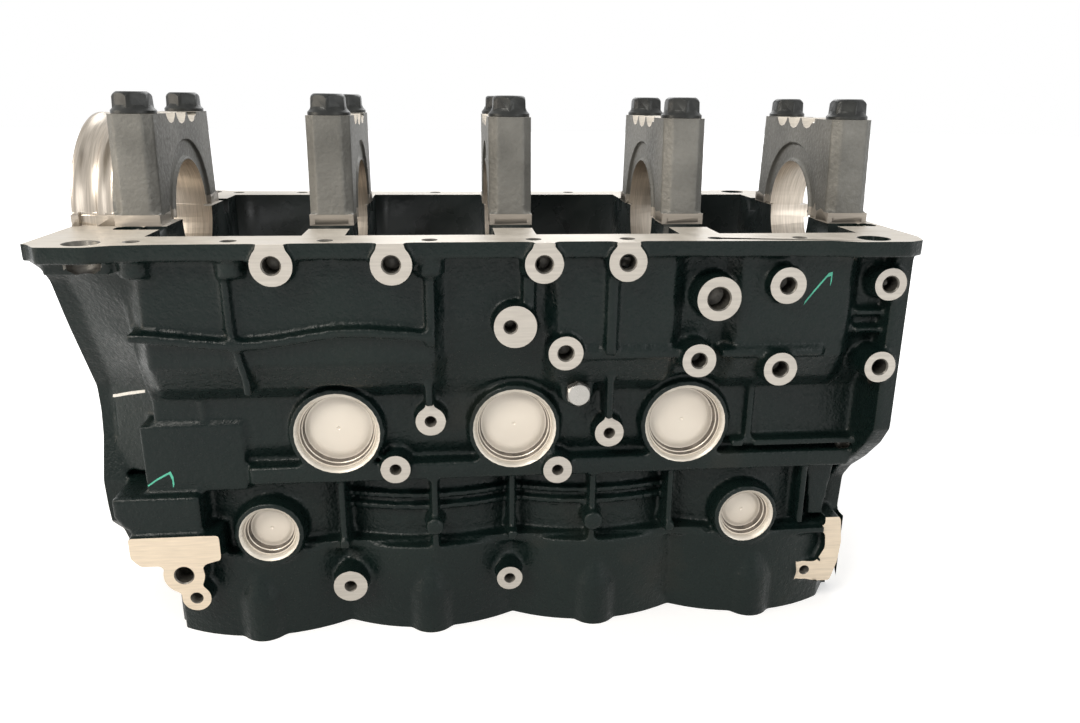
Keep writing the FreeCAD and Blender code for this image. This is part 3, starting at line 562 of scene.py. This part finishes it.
class Finish:
    """A material's node tree, with short calls for its nodes."""

    def __init__(self, name, colour, metallic, roughness, specular=0.5):
        self.material = bpy.data.materials.new(name)
        self.material.use_nodes = True
        self.tree = self.material.node_tree
        self.shader = self.tree.nodes["Principled BSDF"]
        self.shader.inputs["Base Color"].default_value = (*colour, 1)
        self.shader.inputs["Metallic"].default_value = metallic
        self.shader.inputs["Roughness"].default_value = roughness
        self.shader.inputs["Specular IOR Level"].default_value = specular
        self.place = self.tree.nodes.new("ShaderNodeTexCoord").outputs["Object"]
        self.height = None

    def stretched(self, scale):
        """Object coordinates scaled differently along each axis."""
        mapping = self.tree.nodes.new("ShaderNodeMapping")
        mapping.inputs["Scale"].default_value = scale
        self.tree.links.new(self.place, mapping.inputs["Vector"])
        return mapping.outputs["Vector"]

    def noise(self, scale, detail=3, place=None):
        node = self.tree.nodes.new("ShaderNodeTexNoise")
        node.inputs["Scale"].default_value = scale
        node.inputs["Detail"].default_value = detail
        self.tree.links.new(place or self.place, node.inputs["Vector"])
        return node.outputs["Fac"]

    def ramp(self, factor, stops):
        """A colour ramp through (position, colour) stops."""
        node = self.tree.nodes.new("ShaderNodeValToRGB")
        while len(node.color_ramp.elements) < len(stops):
            node.color_ramp.elements.new(0.5)
        for element, (position, colour) in zip(node.color_ramp.elements, stops):
            element.position = position
            element.color = (*colour, 1) if isinstance(colour, tuple) else (colour, colour, colour, 1)
        self.tree.links.new(factor, node.inputs["Fac"])
        return node.outputs["Color"]

    def use(self, output, socket):
        self.tree.links.new(output, self.shader.inputs[socket])
        return self

    def bump(self, factor, distance, strength=1.0):
        """Adds relief of a given depth on top of what is there."""
        node = self.tree.nodes.new("ShaderNodeBump")
        node.inputs["Distance"].default_value = distance
        node.inputs["Strength"].default_value = strength
        self.tree.links.new(factor, node.inputs["Height"])
        if self.height is not None:
            self.tree.links.new(self.height, node.inputs["Normal"])
        self.height = node.outputs["Normal"]
        self.tree.links.new(self.height, self.shader.inputs["Normal"])
        return self


PALE_IRON = (0.70, 0.65, 0.57)
GREY_IRON = (0.50, 0.468, 0.42)
WARM_IRON = (0.74, 0.63, 0.49)
FOOT_IRON = (0.40, 0.36, 0.31)


def painted_iron():
    """Dark green-black enamel over sand-cast iron, browner in random patches."""
    finish = Finish("painted_iron", (0.003, 0.009, 0.008), 0, 0.34, 0.2)
    patches = finish.noise(14, 4)
    finish.use(finish.ramp(patches, [(0.35, (0.002, 0.0065, 0.006)), (0.62, (0.005, 0.011, 0.0095)),
                                     (0.78, (0.016, 0.017, 0.013))]), "Base Color")
    finish.use(finish.ramp(finish.noise(420, 2), [(0.3, 0.22), (0.75, 0.48)]), "Roughness")
    finish.bump(finish.noise(9, 3), 1.2 * MM, 0.35)
    finish.bump(finish.noise(280, 3), 0.5 * MM, 0.9)
    finish.bump(finish.noise(700, 2), 0.3 * MM, 0.9)
    return finish.material


def bay_iron():
    """The same paint, glossier, over the inside of the crankcase."""
    finish = Finish("bay_iron", (0.010, 0.017, 0.016), 0, 0.3, 0.45)
    finish.use(finish.ramp(finish.noise(22, 5), [(0.35, (0.006, 0.011, 0.011)), (0.7, (0.022, 0.028, 0.027))]),
               "Base Color")
    finish.use(finish.ramp(finish.noise(60, 4), [(0.3, 0.2), (0.75, 0.42)]), "Roughness")
    finish.bump(finish.noise(200, 3), 0.3 * MM, 0.5)
    return finish.material


def milled_iron(name, colour):
    """Bright cut iron with faint tool marks and small darker pits."""
    finish = Finish(name, colour, 0.3, 0.38)
    dull = tuple(0.84 * part for part in colour)
    marks = finish.noise(60, 2, finish.stretched((1, 14, 14)))
    finish.use(finish.ramp(marks, [(0.3, dull), (0.7, colour)]), "Base Color")
    finish.use(finish.ramp(finish.noise(90, 3), [(0.3, 0.30), (0.7, 0.48)]), "Roughness")
    finish.bump(marks, 0.03 * MM, 0.6)
    finish.bump(finish.noise(900, 2), 0.03 * MM, 0.5)
    return finish.material


def bored_iron():
    """Honed and turned surfaces, a little darker and smoother."""
    finish = Finish("bored_iron", (0.46, 0.40, 0.34), 0.8, 0.3)
    finish.use(finish.ramp(finish.noise(60, 2, finish.stretched((24, 1, 1))),
                           [(0.3, (0.36, 0.32, 0.27)), (0.7, (0.54, 0.48, 0.41))]), "Base Color")
    finish.bump(finish.noise(80, 2, finish.stretched((20, 1, 1))), 0.02 * MM, 0.5)
    return finish.material


def thread_painted_shade():
    """The inside of tapped holes, made dark as painted shade."""
    finish = Finish("thread_painted_shade", (0.12, 0.11, 0.10), 0.5, 0.4)
    finish.use(finish.ramp(finish.noise(300, 2), [(0.3, (0.06, 0.056, 0.05)), (0.7, (0.16, 0.15, 0.13))]), "Base Color")
    return finish.material


def cap_iron():
    """Bare grey sand-cast iron of the caps."""
    finish = Finish("cap_iron", (0.16, 0.158, 0.145), 0.3, 0.55, 0.4)
    finish.use(finish.ramp(finish.noise(30, 5), [(0.3, (0.105, 0.103, 0.093)), (0.7, (0.20, 0.196, 0.178))]),
               "Base Color")
    finish.use(finish.ramp(finish.noise(500, 2), [(0.3, 0.42), (0.7, 0.65)]), "Roughness")
    finish.bump(finish.noise(430, 3), 0.45 * MM, 0.9)
    finish.bump(finish.noise(120, 2), 0.35 * MM, 0.5)
    return finish.material


def bolt_steel():
    finish = Finish("bolt_steel", (0.022, 0.024, 0.023), 0.3, 0.34, 0.35)
    finish.use(finish.ramp(finish.noise(160, 3), [(0.3, (0.012, 0.013, 0.0125)), (0.75, (0.034, 0.036, 0.034))]),
               "Base Color")
    finish.bump(finish.noise(700, 2), 0.04 * MM, 0.5)
    return finish.material


def plug_plate():
    """Pale plated pressings."""
    finish = Finish("plug_plate", (0.76, 0.70, 0.62), 0.15, 0.34)
    finish.use(finish.ramp(finish.noise(25, 4), [(0.3, (0.68, 0.615, 0.53)), (0.7, (0.76, 0.70, 0.61))]), "Base Color")
    finish.bump(finish.noise(500, 2), 0.02 * MM, 0.4)
    return finish.material


def plug_wall_painted_shade():
    """The step walls of the plugs, darkened as painted shade."""
    finish = Finish("plug_wall_painted_shade", (0.16, 0.14, 0.12), 0.4, 0.4)
    finish.use(finish.ramp(finish.noise(160, 4), [(0.3, (0.09, 0.08, 0.07)), (0.7, (0.24, 0.21, 0.18))]), "Base Color")
    return finish.material


def bright_zinc():
    finish = Finish("bright_zinc", (0.36, 0.35, 0.33), 0.7, 0.38)
    finish.use(finish.ramp(finish.noise(200, 3), [(0.3, 0.2), (0.7, 0.36)]), "Roughness")
    return finish.material


def marker_paint(name, colour):
    finish = Finish(name, colour, 0, 0.6)
    finish.use(finish.ramp(finish.noise(900, 3), [(0.3, tuple(0.8 * part for part in colour)), (0.7, colour)]),
               "Base Color")
    return finish.material


def dress(piece, materials, choose=None):
    """Gives a piece its materials; choose says which one a face takes."""
    piece.data.materials.clear()
    for material in materials:
        piece.data.materials.append(material)
    for face in piece.data.polygons:
        face.material_index = choose(face) if choose else 0
    piece.data.set_sharp_from_angle(angle=math.radians(38))
    shape = bmesh.new()
    shape.from_mesh(piece.data)
    for edge in shape.edges:
        if len({face.material_index for face in edge.link_faces}) > 1:
            edge.smooth = False
    shape.to_mesh(piece.data)
    shape.free()
    return piece


# ---------------------------------------------------------------- where the casting is machined

MILLED, BORED, THREADED, INSIDE, SPOT_FACED, PAD_MILLED = range(1, 7)


def machined_map(spots, pads):
    """A rule that tells the finishes of the casting's faces apart, in the order of the finishes in main."""
    near = 0.06 * MM
    bosses = [(sign, centre, radius + 0.6 * MM) for _, sign, centre, radius, hole in spots if not hole]
    holes = [(AXES[axis], sign, centre, radius) for axis, sign, centre, radius, hole in spots if hole]

    def choose(face):
        middle, normal = face.center, face.normal
        for axis, sign, centre, radius in holes:
            away = middle - centre
            along = away.dot(axis) * sign
            if -(8.8 if axis.z and radius < 4 * MM else 15.5) * MM < along < near:
                flat = away - axis * away.dot(axis)
                wide = 2.1 * MM if radius > SMALL_BOSS else 0.8 * MM
                if flat.length < radius + wide and abs(normal.dot(axis)) < 0.9 and normal.dot(flat) < 0:
                    # Walls of tapped holes take the dark painted-shade material; wider holes stay milled.
                    return THREADED if radius < SMALL_BOSS else MILLED
        if abs(middle.z - RAIL_TOP) < near and normal.z > 0.99 or middle.z < near and normal.z < -0.99:
            return MILLED
        if abs(middle.x - BLOCK_LOW.x) < near and normal.x < -0.99:
            return MILLED
        if abs(middle.x - FRONT_FACE) < near and normal.x > 0.99:
            return MILLED
        for sign, centre, radius in bosses:
            away = middle - centre
            if abs(away.y) < near and normal.y * sign > 0.99 and math.hypot(away.x, away.z) < radius:
                return SPOT_FACED
        if abs(middle.y + FRONT_PAD) < near and normal.y < -0.99 and middle.x > 180 * MM:
            if middle.z < (34 if middle.x < 195 * MM else 62) * MM:
                return PAD_MILLED
        for sign, low, high in pads:
            if abs(middle.y - low.y) < near and normal.y * sign > 0.99 and low.x - 3 * MM < middle.x < high.x + 3 * MM:
                if low.z - 3 * MM < middle.z < high.z + 3 * MM:
                    return PAD_MILLED
        if abs(middle.y) < 51 * MM and middle.z > RAIL_TOP - 51 * MM:
            out = math.hypot(middle.y, middle.z - RAIL_TOP)
            if abs(out - CRANK_RADIUS) < 0.3 * MM or abs(out - SEAL_RADIUS) < 0.3 * MM:
                return BORED
        if middle.z < 150 * MM and abs(middle.y) < BORE_RADIUS + 1 * MM:
            if any(abs(math.hypot(middle.x - x, middle.y) - BORE_RADIUS) < 0.4 * MM for x in CYLINDER_STATIONS):
                return BORED
        if 148 * MM < middle.z < RAIL_TOP - near and abs(middle.x) < 200 * MM:
            slopes = (70 + (middle.z / MM - 150) * 14 / 8, 84 + (middle.z / MM - 158) * 14 / 30, 98)
            if abs(middle.y) < (min(slopes) + 0.5) * MM:
                return INSIDE
        return 0

    return choose


# ---------------------------------------------------------------- stage


SKY = 0.38


def lamp(name, energy, at, aim, size, tint=(1, 1, 1)):
    """A square soft lamp, aimed at a point."""
    light = bpy.data.lights.new(name, "AREA")
    light.energy, light.color = energy, tint
    light.size = size
    holder = bpy.data.objects.new(name, light)
    holder.location = at
    holder.rotation_euler = (Vector(aim) - Vector(at)).to_track_quat("-Z", "Y").to_euler()
    bpy.context.scene.collection.objects.link(holder)


def seen_directly(nodes, links):
    """A 1 for rays from the camera, and for what gloss and glass mirror; 0 for the light that falls on things."""
    ray = nodes.new("ShaderNodeLightPath")
    total = ray.outputs["Is Camera Ray"]
    for name in ("Is Glossy Ray", "Is Transmission Ray"):
        either = nodes.new("ShaderNodeMath")
        either.operation = "MAXIMUM"
        links.new(total, either.inputs[0])
        links.new(ray.outputs[name], either.inputs[1])
        total = either.outputs[0]
    return total


def studio():
    """A white backdrop and a white floor that keeps the block's shadow, its glow dimmed round the block as painted
    shade, under soft lamps.
    """
    bpy.context.scene.view_settings.view_transform = "Standard"
    world = bpy.data.worlds.new("studio")
    bpy.context.scene.world = world
    world.use_nodes = True
    nodes, links = world.node_tree.nodes, world.node_tree.links
    falling, white = nodes["Background"], nodes.new("ShaderNodeBackground")
    for background, strength in ((falling, SKY), (white, 1.0)):
        background.inputs["Color"].default_value = (1, 1, 1, 1)
        background.inputs["Strength"].default_value = strength
    choice = nodes.new("ShaderNodeMixShader")
    links.new(seen_directly(nodes, links), choice.inputs[0])
    links.new(falling.outputs[0], choice.inputs[1])
    links.new(white.outputs[0], choice.inputs[2])
    links.new(choice.outputs[0], nodes["World Output"].inputs["Surface"])

    floor = slab("floor", (-6, -4, -0.02), (6, 8, 0))
    finish = bpy.data.materials.new("floor_white")
    finish.use_nodes = True
    nodes, links = finish.node_tree.nodes, finish.node_tree.links
    shader, glow = nodes["Principled BSDF"], nodes.new("ShaderNodeMath")
    shader.inputs["Base Color"].default_value = (0.8, 0.8, 0.8, 1)
    shader.inputs["Roughness"].default_value = 0.9
    shader.inputs["Emission Color"].default_value = (1, 1, 1, 1)
    # The floor's glow falls from 1.0 to 0.45 near the block: painted shade round it, where the lamps' real shadow also
    # shows.
    place, away, painted_shade_grade = (nodes.new("ShaderNode" + kind) for kind in ("TexCoord", "VectorMath", "MapRange"))
    away.operation = "LENGTH"
    for socket, value in (("From Min", 0.25), ("From Max", 0.6), ("To Min", 0.45), ("To Max", 1.0)):
        painted_shade_grade.inputs[socket].default_value = value
    links.new(place.outputs["Object"], away.inputs[0])
    links.new(away.outputs["Value"], painted_shade_grade.inputs["Value"])
    glow.operation = "MULTIPLY"
    links.new(seen_directly(nodes, links), glow.inputs[0])
    links.new(painted_shade_grade.outputs["Result"], glow.inputs[1])
    links.new(glow.outputs[0], shader.inputs["Emission Strength"])
    floor.data.materials.append(finish)

    lamp("key", 15, (-0.75, -0.95, 1.15), (0, 0, 0.17), 0.6, (1, 0.95, 0.88))
    lamp("side", 7, (-1.35, -0.4, 0.5), (-0.1, 0, 0.16), 0.7, (1, 0.88, 0.74))
    lamp("fill", 5, (1.1, -1.1, 0.7), (0, 0, 0.15), 0.8)
    lamp("back", 8, (0.2, 1.3, 1.2), (0, 0, 0.2), 1.0)


def camera():
    """The view of the near side, a little from above and from the flywheel end."""
    lens = bpy.data.cameras.new("view")
    lens.sensor_width, lens.lens = 36, 28.333
    lens.clip_start, lens.clip_end = 0.01, 50
    holder = bpy.data.objects.new("view", lens)
    yaw, pitch, roll = 0.1074908, 0.2996529, 0.0108021
    turn_to = (Matrix.Rotation(-yaw, 4, "Z") @ Matrix.Rotation(math.pi / 2 - pitch, 4, "X")
               @ Matrix.Rotation(roll, 4, "Z"))
    holder.matrix_world = Matrix.Translation(Vector((-34.749, -547.364, 310.849)) * MM) @ turn_to
    bpy.context.scene.collection.objects.link(holder)
    bpy.context.scene.camera = holder


# ---------------------------------------------------------------- the whole engine block


def main():
    shape = merged("block_casting")
    spots, pads = survey(shape)
    shape.free()
    spots += plug_holes() + [("Y", -1, Vector((PAD_LUG[0], -FRONT_PAD, PAD_LUG[1])), 2.6 * MM, True)]
    block = block_casting(spots, pads)
    rail, bore = milled_iron("milled_iron", PALE_IRON), bored_iron()
    iron = [painted_iron(), rail, bore, thread_painted_shade(), bay_iron(), milled_iron("spot_faced_iron", GREY_IRON),
            milled_iron("pad_iron", WARM_IRON)]
    dress(block, iron, machined_map(spots, pads))
    skin = BVHTree.FromObject(block, bpy.context.evaluated_depsgraph_get())
    green, white = marker_paint("green_marker", (0.10, 0.52, 0.36)), marker_paint("white_marker", (0.75, 0.73, 0.68))
    for name, points in MARKS.items():
        stroke = dress(paint_stroke(name, points, skin), [white if name == "white_dash" else green])
        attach(stroke, "root")
    stand_in(block, "block_casting")
    cap_finish = [cap_iron(), rail, bore, milled_iron("cap_foot_iron", FOOT_IRON)]
    for node in CAPS:
        stand_in(dress(bearing_cap(node), cap_finish, cap_map(node)), node)
    steel = bolt_steel()
    for node in BOLTS:
        stand_in(dress(cap_bolt(node), [steel]), node)
    plates = [plug_plate(), plug_wall_painted_shade()]
    for node in PLUGS:
        # Faces turned sideways, the plugs' step walls, take the painted shade.
        stand_in(dress(plug_disc(node), plates, lambda face: int(abs(face.normal.y) < 0.6)), node)
    zinc = bright_zinc()
    stand_in(dress(hex_plug(), [zinc]), "gallery_hex_plug")
    for node in GALLERY_PLUGS:
        stand_in(dress(gallery_plug(node), [zinc]), node)
    studio()
    camera()


def cap_map(node):
    """Which faces of a cap are cast (0), milled (1), bored or turned (2), or its foot (3)."""
    has_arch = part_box(node)[0].x < BLOCK_LOW.x + 1 * MM

    def choose(face):
        middle, normal = face.center, face.normal
        out = math.hypot(middle.y, middle.z - RAIL_TOP)
        if abs(out - CRANK_RADIUS) < 0.3 * MM and abs(normal.x) < 0.5:
            return 2
        if has_arch and middle.x < ARCH_FRONT + 0.05 * MM and out < 59.2 * MM:
            return 2
        if middle.z < RAIL_TOP + CAP_FOOT + 0.1 * MM:
            return 3
        if middle.z > CAP_TOP - 9 * MM and 0.35 < normal.z and abs(middle.y) < 37 * MM or normal.z > 0.99:
            return 1
        return 0

    return choose


def stand_in(piece, node):
    """Puts a finished piece in the place of its CAD node."""
    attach(piece, "root")
    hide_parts(node)


main()
